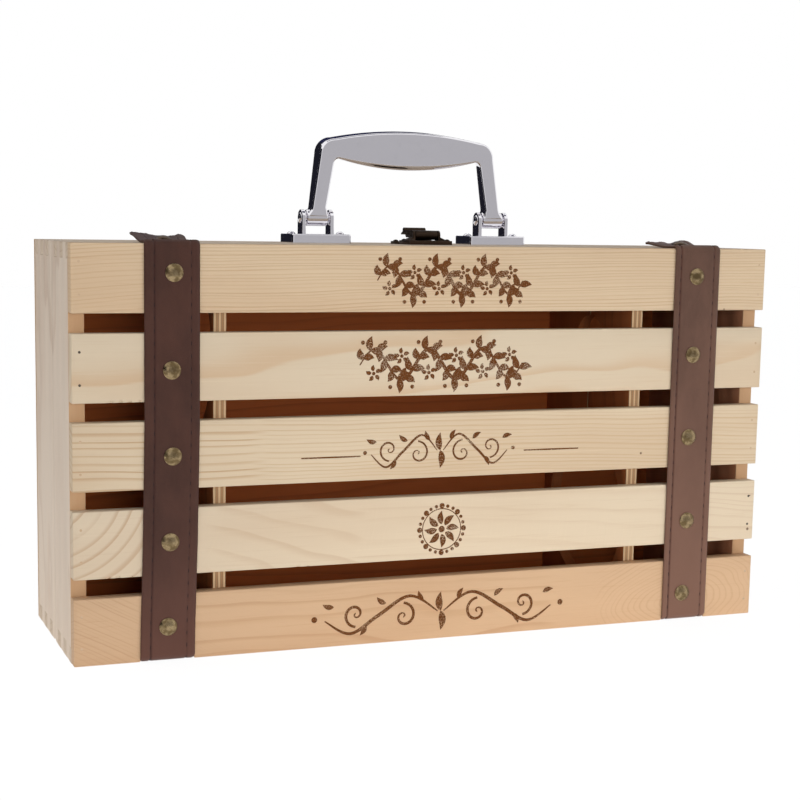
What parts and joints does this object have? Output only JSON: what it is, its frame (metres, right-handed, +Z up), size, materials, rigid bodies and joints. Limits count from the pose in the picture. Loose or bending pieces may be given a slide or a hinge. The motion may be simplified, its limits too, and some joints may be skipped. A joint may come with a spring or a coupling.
{
  "type": "wooden wine box",
  "caption": "Hinged wooden carrying box with a slatted front, leather straps, a duck-bill latch and a folding metal handle, divided inside to hold wine bottles lying head to tail.",
  "frame": {"origin": "middle of the underside, on the saw cut between lid and case; the tacks' domes put the middle of the bounding box 1.7 mm in front of it", "axes": "+X along the box to the right of someone who faces the slats, +Y from the slats to the back panel, +Z up"},
  "size_m": [0.35, 0.1034, 0.2423],
  "materials": {
    "slat_wood": "satin, straight-grained pine with burned ornaments",
    "frame_wood": "satin pine",
    "end_wood": "satin pine, upright grain",
    "back_plywood": "satin pale plywood",
    "divider_plywood": "satin reddish-brown plywood with pale plies at the edges",
    "brads": "dull",
    "strap_leather": "smooth dark-brown, satin",
    "tack_brass": "antique, satin",
    "handle_chrome": "polished",
    "latch_bronze": "dark antique bronze",
    "hinge_brass": "satin",
    "hinge_steel": "satin"
  },
  "bodies": {
    "case": {"case_top": "frame_wood", "case_bottom": "frame_wood", "case_end_left": "end_wood", "case_end_right": "end_wood", "back_panel": "back_plywood", "back_brads": "brads", "case_divider_left": "divider_plywood", "case_divider_right": "divider_plywood", "handle_bracket_left": "handle_chrome", "handle_bracket_right": "handle_chrome", "handle_pins": "handle_chrome", "handle_bracket_screws": "handle_chrome", "latch_catch": "latch_bronze", "latch_screws_case": "latch_bronze", "hinge_leaves_case": "hinge_brass", "hinge_pins": "hinge_steel", "hinge_screws_case": "hinge_brass"},
    "lid": {"lid_top": "frame_wood", "lid_bottom": "frame_wood", "lid_end_left": "end_wood", "lid_end_right": "end_wood", "lid_divider_left": "divider_plywood", "lid_divider_right": "divider_plywood", "slat_1": "slat_wood", "slat_2": "slat_wood", "slat_3": "slat_wood", "slat_4": "slat_wood", "slat_5": "slat_wood", "slat_brads": "brads", "strap_left": "strap_leather", "strap_right": "strap_leather", "strap_tacks_left": "tack_brass", "strap_tacks_right": "tack_brass", "latch_plate": "latch_bronze", "latch_pin": "latch_bronze", "latch_screws_lid": "latch_bronze", "hinge_leaves_lid": "hinge_brass", "hinge_screws_lid": "hinge_brass"},
    "handle": {"handle": "handle_chrome"},
    "latch_lever": {"latch_lever": "latch_bronze"}
  },
  "joints": [
    {"name": "lid_hinge", "type": "hinge", "parent": "case", "child": "lid", "pos_m": [0, 0, 0.0017], "axis": [1, 0, 0], "range_deg": [0, 100]},
    {"name": "handle_hinge", "type": "hinge", "parent": "case", "child": "handle", "pos_m": [0.0039, 0.01265, 0.1998], "axis": [1, 0, 0], "range_deg": [-90, 90]},
    {"name": "latch_hinge", "type": "hinge", "parent": "lid", "child": "latch_lever", "pos_m": [0.007, -0.007, 0.1921], "axis": [1, 0, 0], "range_deg": [0, 75]}
  ]
}
